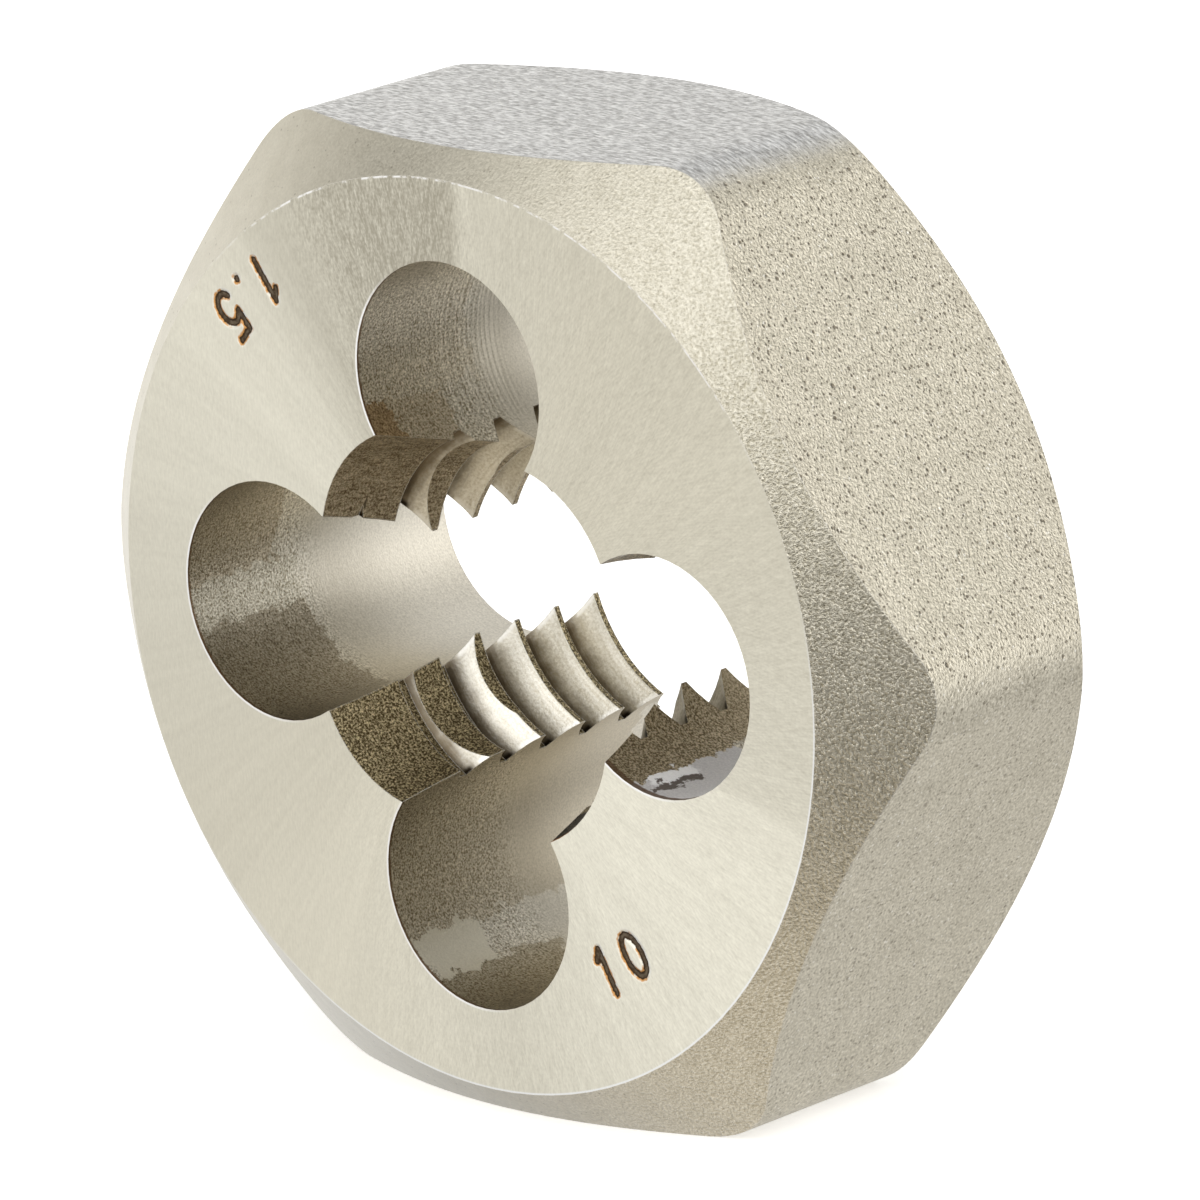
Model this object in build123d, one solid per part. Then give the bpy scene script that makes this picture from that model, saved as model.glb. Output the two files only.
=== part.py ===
from build123d import *
import math
import os

# Hexagon rethreading die, M10 x 1.5 right-hand, made from one piece of tool steel.
# It stands on one flat of the hexagon, with the thread axis along Y, the lead-in
# face towards -Y, X to the right and Z up. The origin is on the thread axis,
# midway between the two faces. Millimetres and degrees.

# Hexagon
across_flats = 25.4
thickness = 9.6
corner_radius = 2.4

# Turned faces: each has a round flat, inside the hexagon's flats, and a cone that
# takes the corners off
front_flat_inset = 0.7
front_cone_angle = 41.0
back_flat_inset = 0.5
back_cone_angle = 45.0

# Thread: its depth is a share of the full vee's height, and the flats on its
# crests and roots are shares of its pitch
thread_diameter = 10.0
thread_pitch = 1.5
thread_angle = 60.0
depth_share = 5 / 8
crest_share = 1 / 8
root_share = 1 / 6
first_groove_depth = 0.10

# One stretch of groove spans this share of the angle between two chip holes, so it
# runs out into both
groove_span_share = 0.85

# Chip holes, which part the thread into its lands
chip_hole_count = 4
chip_hole_diameter = 6.35
chip_hole_circle_diameter = 13.36

# Lead-in: each land is ground by itself with a tapered wheel, which stands off the
# axis and turned back, so that the land falls away behind its cutting edge
lead_wheel_diameter = 7.2
lead_beyond_root = 0.58
lead_turn_back = 8.0
lead_taper = 17.0

# Bevel at the thread's back end
back_bevel = 0.45

# How far each cutter runs past the metal that it cuts
overrun = 1.0


def slope(angle):
    """Rise for each millimetre of run."""
    return math.tan(math.radians(angle))


half_thickness = thickness / 2
flank_slope = slope(thread_angle / 2)
vee_height = thread_pitch / 2 / flank_slope
crest_radius = thread_diameter / 2 - vee_height * depth_share
root_radius = crest_radius + vee_height * (1 - crest_share - root_share)
land_angle = 360 / chip_hole_count


def at_each_hole(first_angle, cutter):
    """Copies of a cutter, one for each chip hole, turned about the thread axis."""
    angles = [first_angle + land_angle * i for i in range(chip_hole_count)]
    return [Rot(0, 0, angle) * cutter for angle in angles]


def hexagon_blank():
    """Rounded hexagon bar, cut to length."""
    outline = RegularPolygon(across_flats / 2, 6, major_radius=False)
    outline = fillet(outline.vertices(), corner_radius)
    return extrude(outline, half_thickness, both=True)


def turned_envelope():
    """Solid of revolution that leaves both faces round and the corners coned.

    Each cone is drawn as a two-point Bezier, so that it meets the hexagon's flats in
    smooth splines.
    """
    reach = across_flats / math.sqrt(3) + overrun
    front_radius = across_flats / 2 - front_flat_inset
    back_radius = across_flats / 2 - back_flat_inset
    front_drop = (reach - front_radius) * slope(front_cone_angle)
    back_drop = (reach - back_radius) * slope(back_cone_angle)
    front_middle = (0, half_thickness)
    front_edge = (front_radius, half_thickness)
    front_reach = (reach, half_thickness - front_drop)
    back_reach = (reach, -half_thickness + back_drop)
    back_edge = (back_radius, -half_thickness)
    back_middle = (0, -half_thickness)
    profile = [
        Line(front_middle, front_edge),
        Bezier(front_edge, front_reach),
        Line(front_reach, back_reach),
        Bezier(back_reach, back_edge),
        Line(back_edge, back_middle),
        Line(back_middle, front_middle),
    ]
    return revolve(Plane.XZ * make_face(profile), Axis.Z)


def plain_bore():
    """Bore at the thread's crests, with the bevel at its back end."""
    bore = Cylinder(crest_radius, thickness + 2 * overrun)
    bevel_height = back_bevel + overrun
    bevel = Cone(crest_radius + bevel_height, crest_radius, bevel_height)
    return bore + Pos(0, 0, -half_thickness - overrun + bevel_height / 2) * bevel


def chip_holes():
    """Straight holes that open into the bore."""
    drill = Cylinder(chip_hole_diameter / 2, thickness + 2 * overrun)
    return at_each_hole(0, Pos(chip_hole_circle_diameter / 2, 0, 0) * drill)


def lead_ins():
    """Off-centre cones, one for each land, that open the bore towards the front."""
    wheel_radius = lead_wheel_diameter / 2
    offset = root_radius + lead_beyond_root - wheel_radius
    mouth = wheel_radius + overrun * slope(lead_taper)
    height = mouth / slope(lead_taper)
    wheel = Pos(offset, 0, half_thickness + overrun - height / 2) * Cone(0, mouth, height)
    return at_each_hole(land_angle / 2 - lead_turn_back, wheel)


def thread_grooves():
    """Right-hand helical vee groove, as one stretch of vee for each land and turn."""
    stretch = land_angle * groove_span_share
    inner = crest_radius - vee_height * crest_share / 2
    half_root = thread_pitch * root_share / 2
    half_mouth = half_root + (root_radius - inner) * flank_slope
    vee = Polyline(
        (inner, -half_mouth),
        (root_radius, -half_root),
        (root_radius, half_root),
        (inner, half_mouth),
        close=True,
    )
    path = Helix(thread_pitch, thread_pitch * stretch / 360, root_radius)
    cutter = sweep(Plane.XZ * make_face(vee), path, is_frenet=True)
    cuts = []
    for land in range(chip_hole_count):
        angle = land_angle * (land + 0.5) - stretch / 2
        height = half_thickness - first_groove_depth + thread_pitch * (angle / 360 + 1)
        while height > -half_thickness - thread_pitch:
            cuts.append(Pos(0, 0, height) * Rot(0, 0, angle) * cutter)
            height -= thread_pitch
    return cuts


def hex_die():
    """The die, with its axis still along Z and its lead-in face up."""
    body = hexagon_blank() & turned_envelope()
    body -= plain_bore()
    body -= chip_holes()
    body -= lead_ins()
    body -= thread_grooves()
    return body


standing = Plane(origin=(0, 0, 0), x_dir=(1, 0, 0), z_dir=(0, -1, 0))
die = standing * hex_die()

os.makedirs("parts", exist_ok=True)
export_step(die, "parts/hex_die.step")
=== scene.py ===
import math

import bmesh
import bpy
from mathutils import Matrix, Vector


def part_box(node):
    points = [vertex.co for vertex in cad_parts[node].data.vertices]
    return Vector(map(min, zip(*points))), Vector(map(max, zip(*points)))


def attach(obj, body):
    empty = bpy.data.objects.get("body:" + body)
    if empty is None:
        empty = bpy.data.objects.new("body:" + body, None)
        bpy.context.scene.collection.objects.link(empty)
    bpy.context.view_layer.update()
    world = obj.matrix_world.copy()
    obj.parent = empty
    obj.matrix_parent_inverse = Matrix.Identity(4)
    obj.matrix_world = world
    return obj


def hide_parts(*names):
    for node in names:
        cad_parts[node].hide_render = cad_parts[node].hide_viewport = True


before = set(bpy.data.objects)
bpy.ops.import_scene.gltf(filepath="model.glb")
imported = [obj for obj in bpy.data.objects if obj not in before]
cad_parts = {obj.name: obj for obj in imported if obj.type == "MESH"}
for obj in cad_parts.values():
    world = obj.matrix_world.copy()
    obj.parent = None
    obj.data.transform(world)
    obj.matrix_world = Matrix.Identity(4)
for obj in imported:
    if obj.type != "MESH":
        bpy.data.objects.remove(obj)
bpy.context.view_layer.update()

# Places are in metres, in the row frame: the thread axis along Y, the lead-in face
# towards -Y. The finishes and the size numbers measure in millimetres and degrees.
mm = 0.001
low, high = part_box("hex_die")
front_y = low.y
front_flat_inset = 0.7 * mm
rim_radius = high.z - front_flat_inset
hole_radius = 3.175 * mm
hole_circle = 6.68 * mm
hole_angles = (0, 90, 180, 270)
root_radius = 5.11 * mm

# Sectors of the front face painted lighter or darker, as painted highlight and painted
# shade of its fan-shaped sheen: the angles where each begins, is full, begins to fade and
# ends, and its change of tone
highlight_and_shade_sectors = [
    (-98, -45, -18, -14, 0.21),
    (85.5, 88.5, 102, 138, -0.36),
    (-150, -120, -100, -80, 0.12),
    (115, 135, 178, 235, 0.065),
    (-18, 0, 30, 55, 0.05),
]

# The front face's grinding lines: the places in x between which they turn upright, and
# the sector where they are coarse
upright_lines = (-2.5, -6.0)
coarse_lines = (87, 115)

# Stretches of the front face's rim: chipped at the top, and with a painted highlight below
chipped_rim = (35, 125)
bright_rim = (-125, 5)

# Stretch of the cones painted darker, as painted shade
shaded_cone_stretch = (8, 42)

# Patches of darker or paler tone on the chip holes' walls: the angle of the hole, the
# depths and the angles about the hole's centre between which each lies, its tint and how
# much rougher it is
wall_tone_patches = [
    (180, -1.0, 3.95, 203, 300, (0.61, 0.58, 0.53), 0.0),
    (180, -1.0, 3.3, 60, 181, (0.80, 0.76, 0.70), 0.0),
    (90, -1.0, 4.0, 100, 200, (1.0, 0.98, 0.95), 0.02),
    (90, -1.0, 2.8, 200, 300, (0.86, 0.81, 0.74), 0.02),
    (90, -1.0, 0.9, 200, 230, (0.78, 0.66, 0.52), 0.0),
    (270, -1.0, 9.0, 100, 215, (0.84, 0.81, 0.755), 0.02),
    (180, -1.0, 3.9, 181, 203, (0.92, 0.92, 0.90), 0.0),
    (270, -1.0, 4.6, 238, 320, (0.66, 0.63, 0.56), 0.0),
    (0, -1.0, 9.0, 120, 249, (0.72, 0.65, 0.53), 0.06),
]

# Patches of another colour among those: pale ones, and a dark blotch in the right hole.
# They are placed in the same way, with their colour and how much rougher they are.
other_patches = [
    (270, 0.1, 2.4, 215, 238, (0.70, 0.665, 0.55), 0.05),
    (0, -1.0, 4.0, 249, 300, (0.88, 0.88, 0.91), 0.36),
    (0, 0.5, 2.1, 249, 256, (1.0, 1.0, 1.0), 0.30),
    (0, 0.2, 1.9, 256.5, 263, (0.13, 0.10, 0.075), 0.10),
]

# Rings that the drill left inside the upper chip hole: their depths and their pitch
ring_depths = (2.7, 5.2)
ring_pitch = 0.17

# Middle of the painted shadow on the lead-in, beside the bottom chip hole
shadow_place = (2.8, -4.5, -4.7)


def ellipse(centre, across, up, start, end, steps=24):
    """Points along a part of an ellipse, from one angle in degrees to another."""
    angles = [math.radians(start + (end - start) * i / steps) for i in range(steps + 1)]
    return [(centre[0] + across * math.cos(a), centre[1] + up * math.sin(a)) for a in angles]


# Figures of the size numbers, as strokes with their places in millimetres
one = [[(-0.20, 0.36), (0.0, 0.62), (0.0, -0.60)]]
zero = [ellipse((0.0, 0.0), 0.29, 0.58, 0, 360)]
point = [[(0.0, -0.57), (0.0, -0.53)]]
five_bowl = ellipse((-0.02, -0.20), 0.30, 0.42, 140, -145)
five = [[(0.23, 0.66), (-0.24, 0.63), (-0.28, 0.05)], five_bowl]

# The thread's diameter and pitch, each on an arc about the thread axis with its tops
# towards the axis: the arc's radius, and each figure with its angle
size_numbers = [
    (9.23, [(298.5, one), (305.5, zero)]),
    (10.66, [(126.4, one), (130.9, point), (135.4, five)]),
]
stroke_half_width = 0.10
stroke_depth = 0.03

# The fine grid in the front face that carries a number
number_height = 1.8
number_margin = 0.55
number_grid = 0.04

# How close, in metres, vertices are that get welded, and places that lie in one plane
weld_distance = 1e-7
plane_distance = 1e-6
cut_distance = 1e-9

# Edges that turn by more degrees than this stay sharp
sharp_edge = 24

# Nearly all of a noise lies between these values
noise_range = (0.3, 0.7)


class Nodes:
    """Short calls for the nodes of one material, or of the surroundings."""

    def __init__(self, owner):
        owner.use_nodes = True
        self.tree = owner.node_tree

    def add(self, kind, inputs=(), **settings):
        node = self.tree.nodes.new("ShaderNode" + kind)
        for key, value in settings.items():
            setattr(node, key, value)
        for key, value in dict(inputs).items():
            self.feed(node.inputs[key], value)
        return node

    def feed(self, socket, value):
        if isinstance(value, bpy.types.NodeSocket):
            self.tree.links.new(value, socket)
        else:
            socket.default_value = value

    def math(self, operation, *values):
        return self.add("Math", enumerate(values), operation=operation).outputs[0]

    def plus(self, *values):
        total = values[0]
        for value in values[1:]:
            total = self.math("ADD", total, value)
        return total

    def times(self, *values):
        product = values[0]
        for value in values[1:]:
            product = self.math("MULTIPLY", product, value)
        return product

    def vector(self, operation, *values):
        node = self.add("VectorMath", enumerate(values), operation=operation)
        scalar = operation in ("DOT_PRODUCT", "LENGTH", "DISTANCE")
        return node.outputs["Value" if scalar else "Vector"]

    def scaled(self, vector, factor):
        node = self.add("VectorMath", {0: vector, "Scale": factor}, operation="SCALE")
        return node.outputs["Vector"]

    def split(self, vector):
        return self.add("SeparateXYZ", {0: vector}).outputs

    def join(self, x, y, z):
        return self.add("CombineXYZ", {0: x, 1: y, 2: z}).outputs[0]

    def ramp(self, value, start, end, low=0.0, high=1.0, shape="LINEAR"):
        """Straight ramp from low at start to high at end."""
        names = {"Value": value, "From Min": start, "From Max": end}
        names.update({"To Min": low, "To Max": high})
        return self.add("MapRange", names, interpolation_type=shape).outputs[0]

    def fade(self, value, start, end, low=0.0, high=1.0):
        """Smooth step from low at start to high at end."""
        return self.ramp(value, start, end, low, high, shape="SMOOTHSTEP")

    def between(self, value, start, end, soft):
        """1 between two values and 0 outside them, with edges this soft."""
        rise = self.fade(value, start - soft, start + soft)
        return self.times(rise, self.fade(value, end - soft, end + soft, 1.0, 0.0))

    def sector(self, angle, first, last, soft):
        """1 between two angles in degrees and 0 outside them, for an angle in radians."""
        return self.between(angle, math.radians(first), math.radians(last), soft)

    def stretch(self, noise, low, high):
        """A noise spread out from low to high."""
        return self.ramp(noise, *noise_range, low, high)

    def swing(self, noise, amount):
        """A noise as a change of up to this amount each way."""
        return self.stretch(noise, -amount, amount)

    def mix(self, share, first, second, blend="MIX"):
        inputs = {0: share, 6: colour(first), 7: colour(second)}
        return self.add("Mix", inputs, data_type="RGBA", blend_type=blend).outputs[2]

    def noise(self, vector, scale, detail=2.0, rough=0.5):
        names = {"Vector": vector, "Scale": scale, "Detail": detail, "Roughness": rough}
        return self.add("TexNoise", names).outputs[0]

    def cells(self, vector, scale):
        return self.add("TexVoronoi", {"Vector": vector, "Scale": scale}).outputs


def colour(value):
    """A colour with its alpha, or a node's output as it is."""
    if isinstance(value, bpy.types.NodeSocket):
        return value
    return (*value, 1.0) if len(value) == 3 else value


class Metal(Nodes):
    """One metal finish: its nodes, and places on the die in millimetres."""

    def __init__(self, name, edge=0.04):
        """A finish by name, with the radius that its edges look rounded to, or 0."""
        self.material = bpy.data.materials.new(name)
        super().__init__(self.material)
        self.shader = self.tree.nodes["Principled BSDF"]
        self.plain = self.add("NewGeometry").outputs["Normal"]
        self.rounded = self.plain
        if edge:
            self.rounded = self.add("Bevel", {"Radius": edge * mm}, samples=2).outputs[0]
        coordinates = self.add("TexCoord")
        self.place = self.scaled(coordinates.outputs["Object"], 1 / mm)
        self.upward = self.split(coordinates.outputs["Normal"])[2]
        self.x, self.y, self.z = self.split(self.place)
        self.depth = self.math("SUBTRACT", self.y, front_y / mm)
        self.flat = self.join(self.x, 0.0, self.z)
        self.radius = self.vector("LENGTH", self.flat)
        self.angle = self.math("ARCTAN2", self.z, self.x)

        # Place seen from the middle of the nearest chip hole
        spacing = math.tau / len(hole_angles)
        nearest = self.times(self.math("ROUND", self.times(self.angle, 1 / spacing)), spacing)
        self.to_hole = self.join(self.math("COSINE", nearest), 0.0, self.math("SINE", nearest))
        middle = self.scaled(self.to_hole, hole_circle / mm)
        self.in_hole = self.vector("SUBTRACT", self.flat, middle)
        self.from_hole = self.plus(self.vector("LENGTH", self.in_hole), -hole_radius / mm)

    def specks(self, sizes, sharp=0.1):
        """Scattered spots, by the scale of their cells and their size in a cell."""
        spots = 0.0
        for scale, size in sizes:
            cell = self.cells(self.place, scale)

            # A quarter of the cells stay nearly bare
            reach = self.ramp(self.split(cell["Color"])[0], 0.25, 1.0, -0.05, size)
            past = self.math("SUBTRACT", cell["Distance"], reach)
            spots = self.math("MAXIMUM", spots, self.fade(past, -0.03, sharp, 1.0, 0.0))
        return spots

    def edge_wear_and_highlight(self):
        """1 at a sharp edge and 0 away from it, by the rounded normal."""
        likeness = self.vector("DOT_PRODUCT", self.rounded, self.plain)
        return self.fade(likeness, 0.94, 0.995, 1.0, 0.0)

    def finish(self, base, roughness, height, depth, anisotropic=0.0):
        """Base colour and roughness, and a relief of a depth in millimetres."""
        names = {"Height": height, "Distance": depth * mm, "Normal": self.rounded}
        relief = self.add("Bump", names).outputs[0]
        values = {"Base Color": colour(base), "Roughness": roughness, "Normal": relief}
        values.update({"Metallic": 1.0, "Anisotropic": anisotropic})
        for key, value in values.items():
            self.feed(self.shader.inputs[key], value)
        return self.material


# Colours of the finishes: each one's dark and pale tones, and what marks them
ground_dark = (0.42, 0.39, 0.31)
ground_pale = (1.0, 0.97, 0.83)
engraved_edge = (0.95, 0.93, 0.86)
rust_brown = (0.60, 0.31, 0.11)
scale_black = (0.045, 0.027, 0.014)
scale_worn = (0.16, 0.125, 0.085)
lower_rim_highlight = (0.96, 0.98, 1.0)
chips_and_rim_highlight = (1.0, 0.99, 0.96)
cone_dark = (0.42, 0.385, 0.29)
cone_pale = (0.92, 0.88, 0.76)
cone_specks = (0.22, 0.19, 0.14)
cone_edge_highlight = (1.0, 0.99, 0.95)
flat_dark = (0.42, 0.385, 0.30)
flat_pale = (0.88, 0.83, 0.70)
top_flat_dark = (0.37, 0.365, 0.355)
top_flat_pale = (0.98, 0.98, 0.97)
flat_specks = (0.98, 0.96, 0.90)
pit_brown = (0.16, 0.13, 0.09)
flat_edge = (0.20, 0.18, 0.15)
wall_dark = (0.24, 0.21, 0.145)
wall_pale = (0.95, 0.90, 0.785)
wall_rim = (0.16, 0.09, 0.04)
lead_dark = (0.08, 0.06, 0.03)
lead_pale = (0.72, 0.61, 0.375)
rubbed_dark = (0.18, 0.13, 0.07)
rubbed_pale = (0.74, 0.625, 0.445)
lead_edge_highlight = (0.95, 0.93, 0.86)
shadow_rim_brown = (0.45, 0.20, 0.07)
shadow_black = (0.012, 0.009, 0.006)
flank_dark = (0.60, 0.555, 0.45)
flank_pale = (1.0, 0.97, 0.88)
root_shade_brown = (0.14, 0.105, 0.06)
notch_shade_black = (0.02, 0.014, 0.008)
flank_edge_highlight = (1.0, 0.98, 0.92)


def grinding_lines(m, count, length, lean):
    """Noise drawn out along lines that lean from the radius by an angle."""
    outward = m.vector("NORMALIZE", m.flat)
    turn = m.times(m.math("LOGARITHM", m.radius, math.e), math.tan(lean))
    turned = m.add("VectorRotate", {"Vector": outward, "Angle": turn}, rotation_type="Y_AXIS")
    across, _, up = m.split(m.scaled(turned.outputs[0], count))
    return m.noise(m.join(across, m.times(m.radius, 1 / length), up), 1.0, rough=0.6)


def painted_sector_light(m, angle):
    """The painted highlight and painted shade that the sectors make together."""
    tone = 0.0
    for start, full, fading, end, change in highlight_and_shade_sectors:
        past = m.math("FLOORED_MODULO", m.plus(angle, math.radians(-start)), math.tau)
        rise = m.fade(past, 0.0, math.radians(full - start))
        fall = m.fade(past, math.radians(fading - start), math.radians(end - start), change, 0.0)
        tone = m.plus(tone, m.times(rise, fall))
    return tone


def engraved(m, base, grain):
    """The face's colour with its numbers: a pale edge, rust along them, and scale inside."""
    stroke = m.add("Attribute", attribute_name="stroke").outputs["Fac"]
    stroke = m.plus(stroke, m.swing(m.noise(m.place, 9.0, detail=3.0), 0.02))
    base = m.mix(m.fade(stroke, 0.13, 0.21, 0.35, 0.0), base, engraved_edge)
    rusty = m.fade(m.noise(m.place, 3.0), 0.40, 0.52)
    rust = m.times(m.fade(stroke, 0.115, 0.16, 1.0, 0.0), rusty)
    base = m.mix(rust, base, rust_brown)
    base = m.mix(m.fade(stroke, 0.08, 0.11, 1.0, 0.0), base, scale_black)
    worn = m.times(m.fade(stroke, 0.02, 0.07, 1.0, 0.0), m.ramp(grain, 0.35, 0.65, 0.2, 0.9))
    return m.mix(worn, base, scale_worn)


def chips_and_painted_edges(m, base):
    """The face's colour with chips along the circle's top, and painted highlights along the
    circle's lower stretch and the holes' lower left.
    """
    rim = m.fade(m.radius, rim_radius / mm - 0.07, rim_radius / mm - 0.03)

    # Only in front, not round the back face
    rim = m.times(rim, m.fade(m.depth, 1.0, 2.0, 1.0, 0.0))
    # Painted highlight along the circle's lower stretch
    lower_highlight = m.times(rim, m.sector(m.angle, *bright_rim, 0.2), 0.7)
    base = m.mix(lower_highlight, base, lower_rim_highlight)
    chips = m.fade(m.noise(m.place, 4.0, detail=3.0), 0.42, 0.60)
    chipped = m.times(rim, m.sector(m.angle, *chipped_rim, 0.2), chips)
    # Painted highlight along the holes' lower left, in the chips' colour
    lower_left = m.vector("DOT_PRODUCT", m.vector("NORMALIZE", m.in_hole), (-0.9, 0.0, -0.44))
    holes = m.times(m.fade(m.from_hole, 0.04, 0.07, 1.0, 0.0), m.fade(lower_left, 0.1, 0.7))
    return m.mix(m.math("MAXIMUM", chipped, holes), base, chips_and_rim_highlight)


def ground_face():
    """Pale faces, ground with short lines that fan out from the thread axis."""
    m = Metal("ground_face", edge=0.0)
    fine = m.plus(grinding_lines(m, 210, 0.5, 0.2), grinding_lines(m, 170, 0.4, -0.25))
    fine = m.times(fine, 0.5)
    middle = grinding_lines(m, 46, 5.0, 0.12)
    broad = grinding_lines(m, 7, 20.0, 0.05)
    streaks = m.noise(m.join(m.times(m.x, 17.0), m.y, m.times(m.z, 5.0)), 1.0)
    grain = m.noise(m.place, 11.0)
    upright = m.fade(m.x, *upright_lines)
    line = m.plus(m.times(fine, m.ramp(upright, 0, 1, 1, 0)), m.times(streaks, upright))
    angle = m.plus(m.angle, m.swing(middle, 0.012))
    strong = m.plus(m.ramp(upright, 0, 1, 0.75, 0.3), m.sector(angle, *coarse_lines, 0.1))
    tone = m.times(m.plus(m.swing(line, 0.20), m.swing(grain, 0.08)), strong)
    tone = m.plus(tone, m.swing(middle, 0.03), m.swing(broad, 0.03))
    # The sectors' painted highlight and painted shade
    tone = m.plus(tone, painted_sector_light(m, angle), 0.5)
    base = m.mix(tone, ground_dark, ground_pale)
    base = chips_and_painted_edges(m, engraved(m, base, grain))
    roughness = m.plus(m.stretch(line, 0.31, 0.37), m.swing(broad, 0.02))
    tangent = m.add("Tangent", direction_type="RADIAL", axis="Y").outputs[0]
    m.feed(m.shader.inputs["Tangent"], tangent)
    return m.finish(base, roughness, m.times(line, strong), 0.003, anisotropic=0.75)


def coned_corners():
    """Turned cones, with a fine blasted grain that is coarser on the right, painted shade on one
    stretch and painted highlights along the edges.
    """
    m = Metal("coned_corners", edge=0.05)
    grain = m.noise(m.place, 13.0, rough=0.6)
    blotch = m.noise(m.place, 1.6, detail=3.0)
    coarse = m.fade(m.x, 0.0, 10.0, 0.25, 1.0)
    # Painted shade on one stretch of the cones
    cone_shade = m.times(m.sector(m.angle, *shaded_cone_stretch, 0.15), -0.13)
    tone = m.plus(m.times(m.swing(grain, 0.4), coarse), m.swing(blotch, 0.05), cone_shade, 0.5)
    base = m.mix(tone, cone_dark, cone_pale)
    base = m.mix(m.times(m.specks([(5.5, 0.14)]), 0.5), base, cone_specks)
    # Painted highlight along the cones' edges
    base = m.mix(m.times(m.edge_wear_and_highlight(), 0.7), base, cone_edge_highlight)
    smooth = m.ramp(coarse, 0.25, 1.0, 0.12, 0.0)
    roughness = m.plus(m.stretch(grain, 0.28, 0.40), smooth)
    return m.finish(base, roughness, m.times(grain, coarse), 0.034)


def hexagon_flats():
    """Blasted flats with small dark pits; the top one is smoother, and painted bluer as a
    painted reflection.
    """
    m = Metal("hexagon_flats")
    grain = m.noise(m.place, 13.0, rough=0.6)
    blotch = m.noise(m.place, 0.9, detail=4.0)
    top = m.fade(m.upward, 0.72, 0.96)
    dents = m.noise(m.join(m.times(m.x, 4.0), m.times(m.y, 13.0), m.z), 1.0)
    tone = m.plus(m.stretch(grain, 0.1, 0.9), m.swing(blotch, 0.06))

    # The lower flats are painted a little darker, as painted shade, and have fewer pits and less
    # relief
    tone = m.plus(tone, m.ramp(m.upward, -0.3, 0.3, -0.07, -0.01))
    warm = m.mix(tone, flat_dark, flat_pale)
    dented = m.stretch(dents, 0.0, 1.0)
    # The top flat's colours, painted bluer as a painted reflection
    cool = m.mix(dented, top_flat_dark, top_flat_pale)
    base = m.mix(top, warm, cool)
    bright = m.times(m.specks([(4.4, 0.13), (6.9, 0.18)]), 0.6)
    base = m.mix(bright, base, flat_specks)
    pits = m.specks([(2.4, 0.12), (3.7, 0.17), (5.5, 0.21), (8.0, 0.26)], 0.09)
    pits = m.times(pits, m.ramp(m.upward, -0.3, 0.3, 0.52, 0.75), m.ramp(top, 0, 1, 1.0, 0.4))
    base = m.mix(pits, base, pit_brown)
    base = m.mix(m.times(m.edge_wear_and_highlight(), 0.5), base, flat_edge)
    height = m.plus(grain, m.times(dents, top), m.times(pits, -1.0))
    height = m.times(height, m.ramp(m.upward, -0.4, 0.3, 0.5, 1.0))
    return m.finish(base, m.stretch(grain, 0.36, 0.52), height, 0.026)


def patched_wall(m, base, roughness, ragged):
    """A hole wall's colour and roughness with its patches of other tone."""
    depth = m.plus(m.depth, m.swing(ragged, 0.35))
    across, _, up = m.split(m.in_hole)
    angle = m.math("ARCTAN2", m.times(up, -1.0), m.times(across, -1.0))
    angle = m.plus(angle, math.pi, m.swing(ragged, 0.09))

    def patch(hole, start, end, first, last):
        """1 on one patch of a hole's wall and 0 outside it."""
        towards = (math.cos(math.radians(hole)), 0.0, math.sin(math.radians(hole)))
        own = m.math("GREATER_THAN", m.vector("DOT_PRODUCT", m.to_hole, towards), 0.5)
        inside = m.sector(angle, first, last, 0.012)
        return m.times(inside, m.between(depth, start, end, 0.06), own)

    for *place, tint, rougher in wall_tone_patches:
        inside = patch(*place)
        base = m.mix(inside, base, m.mix(1.0, base, tint, blend="MULTIPLY"))
        roughness = m.plus(roughness, m.times(inside, rougher))
    for *place, tint, rougher in other_patches:
        inside = patch(*place)
        base = m.mix(m.times(inside, 0.85), base, tint)
        roughness = m.plus(roughness, m.times(inside, rougher))
    return base, roughness


def chip_hole_walls():
    """Reamed walls with a grey-brown grain, drill marks and patches of other tones, painted
    paler deeper in as painted light.
    """
    m = Metal("chip_hole_walls")
    grain = m.noise(m.place, 17.0, rough=0.6)
    along = m.join(m.times(m.x, 0.1), m.times(m.y, 2.0), m.times(m.z, 0.1))
    rings = m.noise(along, 5.0, detail=3.0)
    spread = m.plus(m.fade(m.depth, 3.5, 5.0, 0.55, 0.16), m.fade(m.x, 3.5, 4.5, 0.0, 0.45))
    marked = m.times(m.between(m.depth, *ring_depths, 0.3), m.fade(m.z, 4.0, 5.0))
    phase = m.plus(m.times(m.depth, math.tau / ring_pitch), m.swing(rings, 1.5))
    drilled = m.times(m.math("SINE", phase), marked)
    tone = m.times(m.plus(m.swing(grain, 1.0), m.swing(rings, 0.09)), spread)
    # Painted light: the walls paler deeper in, towards the back opening, and darker near the
    # front
    tone = m.plus(tone, m.times(drilled, 0.15), m.fade(m.depth, 4.0, 8.5, 0.42, 0.74))
    base = m.mix(tone, wall_dark, wall_pale)
    roughness = m.stretch(grain, 0.27, 0.37)
    roughness = m.plus(roughness, m.fade(m.depth, 3.5, 5.5, 0.0, 0.08))
    ragged = m.noise(m.place, 1.9, detail=5.0, rough=0.65)
    base, roughness = patched_wall(m, base, roughness, ragged)

    # Dark line just inside the front rim, widest in the right hole
    wide = m.plus(m.depth, m.fade(m.x, 3.5, 4.0, 0.0, -0.10), m.swing(ragged, 0.03))
    base = m.mix(m.fade(wide, 0.05, 0.11, 0.85, 0.0), base, wall_rim)
    height = m.times(m.plus(grain, m.times(rings, 0.5)), spread)
    return m.finish(base, roughness, height, 0.030)


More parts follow.
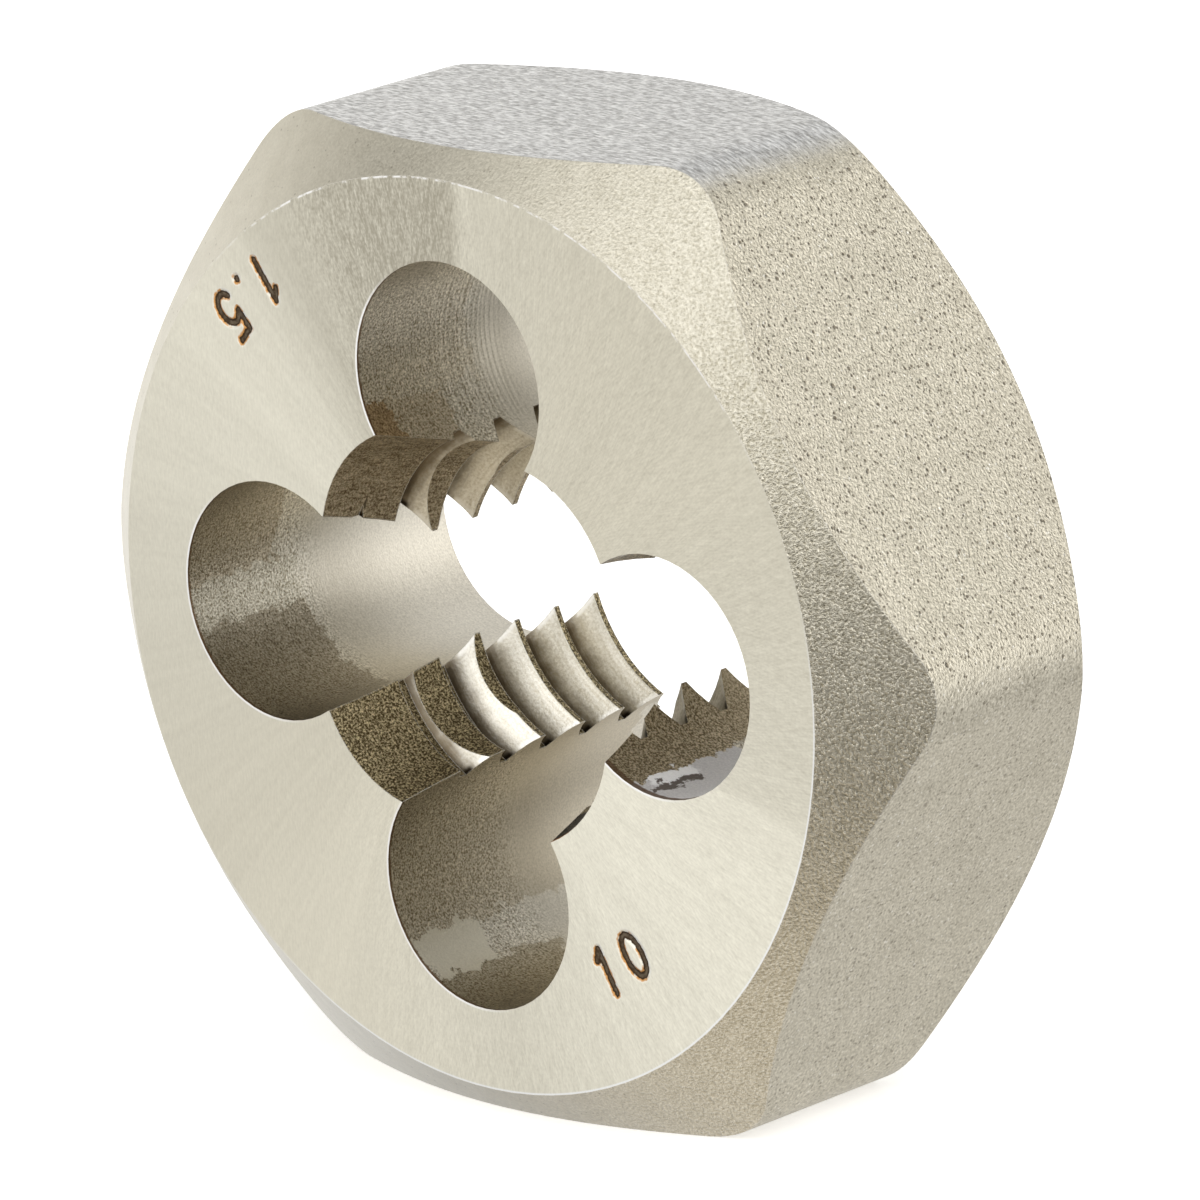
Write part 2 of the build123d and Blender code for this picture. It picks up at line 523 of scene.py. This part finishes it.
def lead_ground():
    """Lead-in and crests: dark brown, speckled, with painted highlights along their edges and a
    painted shadow beside the bottom chip hole.
    """
    m = Metal("lead_ground", edge=0.05)
    grain = m.noise(m.place, 17.0, rough=0.7)
    base = m.mix(m.fade(grain, 0.40, 0.70), lead_dark, lead_pale)

    # The upper lands are paler, with lines along the axis
    rubbed = m.noise(m.join(m.times(m.x, 9.0), m.y, m.times(m.z, 9.0)), 1.0)
    rubbed = m.plus(m.stretch(grain, 0.0, 1.0), m.swing(rubbed, 0.3))
    rubbed = m.mix(rubbed, rubbed_dark, rubbed_pale)
    base = m.mix(m.times(m.fade(m.z, 0.5, 2.0), 0.8), base, rubbed)
    # Painted highlight along the edges
    base = m.mix(m.times(m.edge_wear_and_highlight(), 0.9), base, lead_edge_highlight)

    # Painted shadow: black, with a brown rim
    near = m.plus(m.vector("DISTANCE", m.place, shadow_place), m.fade(m.depth, 0.9, 1.5))
    painted_shadow = m.mix(m.fade(m.depth, 0.06, 0.16), shadow_rim_brown, shadow_black)
    base = m.mix(m.fade(near, 1.7, 2.2, 1.0, 0.0), base, painted_shadow)
    return m.finish(base, m.stretch(grain, 0.38, 0.50), grain, 0.026)


def cut_flanks():
    """Thread flanks: cream satin, with painted shade that darkens them deeper in, browns them
    towards the roots and blackens them where grooves run out.
    """
    m = Metal("cut_flanks", edge=0.03)
    root = root_radius / mm
    grain = m.noise(m.place, 13.0, rough=0.65)
    along = m.join(m.times(m.radius, 12.0), m.times(m.x, 0.6), m.times(m.z, 0.6))
    turns = m.noise(along, 1.0)
    tone = m.plus(m.stretch(grain, 0.25, 1.05), m.swing(turns, 0.25))
    # Painted shade: darker deeper in the bore
    tone = m.plus(tone, m.fade(m.depth, 5.0, 7.0, 0.0, -0.30))
    base = m.mix(tone, flank_dark, flank_pale)
    # Painted shade: brown towards the roots of the grooves
    cloud = m.noise(m.place, 2.5, detail=4.0)
    root_nearness = m.plus(m.radius, m.swing(turns, 0.07), m.swing(cloud, 0.06))
    root_shade = m.fade(root_nearness, root - 0.62, root - 0.03, 0.0, 0.94)
    base = m.mix(root_shade, base, root_shade_brown)

    # Painted shade: black where a groove runs out into the hole at the later side of its land
    round_land = m.math("FLOORED_MODULO", m.angle, math.tau / len(hole_angles))
    late = m.fade(round_land, math.radians(50), math.radians(56))
    deep = m.fade(m.radius, root - 0.30, root - 0.14)
    notch_shade = m.times(m.fade(m.from_hole, 0.06, 0.22, 1.0, 0.0), deep, late)
    base = m.mix(notch_shade, base, notch_shade_black)

    # Painted highlights: bright lips along the holes, and along worn edges
    edge_wear_highlight = m.times(m.edge_wear_and_highlight(), m.ramp(grain, 0.3, 0.5), 0.8)
    crest = m.fade(m.radius, root - 0.45, root - 0.35, 1.0, 0.0)
    lip_highlight = m.times(m.fade(m.from_hole, 0.05, 0.16, 0.8, 0.0), crest)
    base = m.mix(m.math("MAXIMUM", edge_wear_highlight, lip_highlight), base, flank_edge_highlight)
    return m.finish(base, m.stretch(grain, 0.32, 0.42), grain, 0.008)


FACE, CONE, FLAT, HOLE, LEAD, FLANK = range(6)
finishes = (ground_face, coned_corners, hexagon_flats, chip_hole_walls, lead_ground, cut_flanks)

# How the die's faces are told apart: how far a face may lie from a hole's wall, the
# radius that only the hexagon's outside goes beyond, and the limits of its normal's part
# along the thread axis and towards a middle
wall_tolerance = 0.03 * mm
outside_radius = 11 * mm
wall_lean = 0.02
wall_inward = 0.97
square_normal = 0.999
cone_lean = 0.2
lead_lean = 0.36
lead_inward = 0.75


def zone(centre, normal):
    """Which surface of the die a face belongs to, by its place and direction."""
    radius = math.hypot(centre.x, centre.z)
    for angle in hole_angles:
        x = hole_circle * math.cos(math.radians(angle))
        z = hole_circle * math.sin(math.radians(angle))
        away = Vector((centre.x - x, 0, centre.z - z))
        near = abs(away.length - hole_radius) < wall_tolerance
        if near and abs(normal.y) < wall_lean and normal.dot(away.normalized()) < -wall_inward:
            return HOLE
    if abs(normal.y) > square_normal:
        return FACE
    if radius > outside_radius:
        return CONE if abs(normal.y) > cone_lean else FLAT
    inward = -(normal.x * centre.x + normal.z * centre.z) / radius
    if abs(normal.y) < lead_lean and inward > lead_inward:
        return LEAD
    return FLANK


def to_segment(place, start, end):
    """Distance from a place to a straight piece of stroke."""
    place, start, end = Vector(place), Vector(start), Vector(end)
    run = end - start
    share = (place - start).dot(run) / max(run.length_squared, 1e-9)
    return (place - start - run * min(max(share, 0.0), 1.0)).length


def to_stroke(place, radius, figures):
    """Distance in millimetres from a place on the face to a number's nearest stroke."""
    nearest = number_height
    for angle, strokes in figures:
        turn = math.radians(angle)
        right = (place.z * math.cos(turn) - place.x * math.sin(turn)) / mm
        up = radius - (place.x * math.cos(turn) + place.z * math.sin(turn)) / mm
        for points in strokes:
            for start, end in zip(points, points[1:]):
                nearest = min(nearest, to_segment((right, up), start, end))
    return nearest


def split_along(shape, faces, place, normal):
    """Split faces where a plane crosses them, and give back all the parts."""
    around = {item for face in faces for item in (face, *face.edges, *face.verts)}
    result = bmesh.ops.bisect_plane(
        shape, geom=list(around), dist=cut_distance, plane_co=place, plane_no=normal
    )
    return [item for item in result["geom"] if isinstance(item, bmesh.types.BMFace)]


def on_front(face):
    """Whether a face lies in the front face's plane."""
    level = face.calc_center_median().y - front_y
    return face.normal.y < -square_normal and level < plane_distance


def engrave(shape, distance, radius, figures):
    """Press one number into the front face: a fine grid there, lowered along the strokes."""
    first, last = math.radians(figures[0][0]), math.radians(figures[-1][0])
    middle = (first + last) / 2
    along = Vector((-math.sin(middle), 0, math.cos(middle)))
    up = Vector((-math.cos(middle), 0, -math.sin(middle)))
    centre = Vector((0, front_y, 0)) - up * radius * mm
    half_length = (last - first) / 2 * radius + number_margin
    sides = [(along, half_length), (up, number_height / 2)]

    faces = [face for face in shape.faces if on_front(face)]
    for direction, reach in sides:
        for side in (-reach, reach):
            faces = split_along(shape, faces, centre + direction * side * mm, direction)
    inside = []
    for face in faces:
        away = (face.calc_center_median() - centre) / mm
        if all(abs(away.dot(direction)) < reach for direction, reach in sides):
            inside.append(face)
    inside = bmesh.ops.dissolve_faces(shape, faces=inside)["region"]
    for direction, reach in sides:
        count = round(2 * reach / number_grid)
        for step in range(1, count):
            side = reach * (2 * step / count - 1)
            inside = split_along(shape, inside, centre + direction * side * mm, direction)
    for vert in {vert for face in inside for vert in face.verts}:
        vert[distance] = to_stroke(vert.co, radius, figures)

        # Full depth up to 0.6 of the half width, and none from 1.6 of it on
        share = min(max(1.6 - vert[distance] / stroke_half_width, 0.0), 1.0)
        vert.co.y += stroke_depth * mm * share * share * (3 - 2 * share)


def dressed_die():
    """The die's own form with its size numbers, and a finish for each surface."""
    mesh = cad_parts["hex_die"].data.copy()
    mesh.name = "die"
    mesh.materials.clear()
    for finish in finishes:
        mesh.materials.append(finish())
    shape = bmesh.new()
    shape.from_mesh(mesh)
    bmesh.ops.remove_doubles(shape, verts=shape.verts, dist=weld_distance)
    shape.normal_update()
    for face in shape.faces:
        face.smooth = True
        face.material_index = zone(face.calc_center_median(), face.normal)
    distance = shape.verts.layers.float.new("stroke")
    for vert in shape.verts:
        vert[distance] = number_height
    for radius, figures in size_numbers:
        engrave(shape, distance, radius, figures)
    shape.to_mesh(mesh)
    shape.free()
    mesh.attributes.remove(mesh.attributes["custom_normal"])
    mesh.set_sharp_from_angle(angle=math.radians(sharp_edge))
    die = bpy.data.objects.new("die", mesh)
    bpy.context.scene.collection.objects.link(die)
    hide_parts("hex_die")
    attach(die, "root")


# The photograph's view: degrees round from the right side, degrees up and degrees of
# lean, then the camera's distance, the middle of its view and its focal length
view_azimuth = -46.17
view_elevation = 15.44
view_lean = -3.28
view_distance = 0.3008
view_middle = (0.00018, 0.00012, -0.00014)
focal_length = 351.6
sensor_width = 36.0


def camera():
    """The photograph's camera: in front and to the right, a little above, with a long lens."""
    data = bpy.data.cameras.new("camera")
    data.lens = focal_length
    data.sensor_width = sensor_width
    data.clip_start = 0.01
    data.clip_end = 10.0
    obj = bpy.data.objects.new("camera", data)
    round_die = Matrix.Rotation(math.radians(view_azimuth + 90), 4, "Z")
    upward = Matrix.Rotation(math.radians(90 - view_elevation), 4, "X")
    lean = Matrix.Rotation(math.radians(view_lean), 4, "Z")
    away = Matrix.Translation((0, 0, view_distance))
    obj.matrix_world = Matrix.Translation(view_middle) @ round_die @ upward @ lean @ away
    bpy.context.scene.collection.objects.link(obj)
    bpy.context.scene.camera = obj


# Soft boxes of the studio, all round the die. Each has its degrees round from the right
# side, its degrees up, its brightness and its tint. It is brightest up to box_full
# degrees from its middle, and dark from box_none on.
neutral = (1.0, 1.0, 1.0)
daylight = (1.0, 0.98, 0.94)
warm = (1.0, 0.85, 0.60)
cool = (0.80, 0.90, 1.15)
soft_boxes = [
    (-90, 20, 0.70, neutral),
    (-120, 0, 0.90, daylight),
    (-90, 60, 0.85, neutral),
    (-90, -60, 0.55, warm),
    (0, 30, 1.45, daylight),
    (20, 0, 1.20, neutral),
    (0, -70, 0.25, cool),
    (90, 60, 0.70, neutral),
    (90, -60, 0.80, daylight),
    (135, 35, 0.20, neutral),
    (160, 0, 1.10, daylight),
    (180, -30, 0.40, cool),
]
box_full = 8
box_none = 52


def surroundings():
    """The soft boxes, as light that comes from far away."""
    world = bpy.data.worlds.new("surroundings")
    bpy.context.scene.world = world
    w = Nodes(world)
    direction = w.add("TexCoord").outputs["Generated"]
    light = (0.0, 0.0, 0.0)
    for azimuth, elevation, brightness, tint in soft_boxes:
        turn, rise = math.radians(azimuth), math.radians(elevation)
        level = math.cos(rise)
        towards = (math.cos(turn) * level, math.sin(turn) * level, math.sin(rise))
        near = w.vector("DOT_PRODUCT", direction, towards)
        share = w.fade(near, math.cos(math.radians(box_none)), math.cos(math.radians(box_full)))
        light = w.mix(share, light, [brightness * part for part in tint], blend="ADD")
    w.feed(w.tree.nodes["Background"].inputs["Color"], light)


floor_reach = 1.5
floor_gap = 0.01 * mm
floor_white = (0.95, 0.95, 0.95)
floor_glow = 0.45


def floor():
    """White floor under the die. It glows a little, so only a faint shadow shows on it."""
    mesh = bpy.data.meshes.new("floor")
    sides = (-floor_reach, floor_reach)
    corners = [(x, y, low.z - floor_gap) for x in sides for y in sides]
    mesh.from_pydata(corners, [], [(0, 2, 3, 1)])
    obj = bpy.data.objects.new("floor", mesh)
    bpy.context.scene.collection.objects.link(obj)
    paint = bpy.data.materials.new("floor")
    paint.use_nodes = True
    shader = paint.node_tree.nodes["Principled BSDF"]
    shader.inputs["Base Color"].default_value = colour(floor_white)
    shader.inputs["Roughness"].default_value = 0.9
    shader.inputs["Specular IOR Level"].default_value = 0.0
    shader.inputs["Emission Color"].default_value = colour(neutral)
    shader.inputs["Emission Strength"].default_value = floor_glow
    mesh.materials.append(paint)
    obj.visible_glossy = False
    obj.visible_shadow = False


bpy.context.scene.view_settings.view_transform = "Standard"
camera()
surroundings()
floor()
dressed_die()
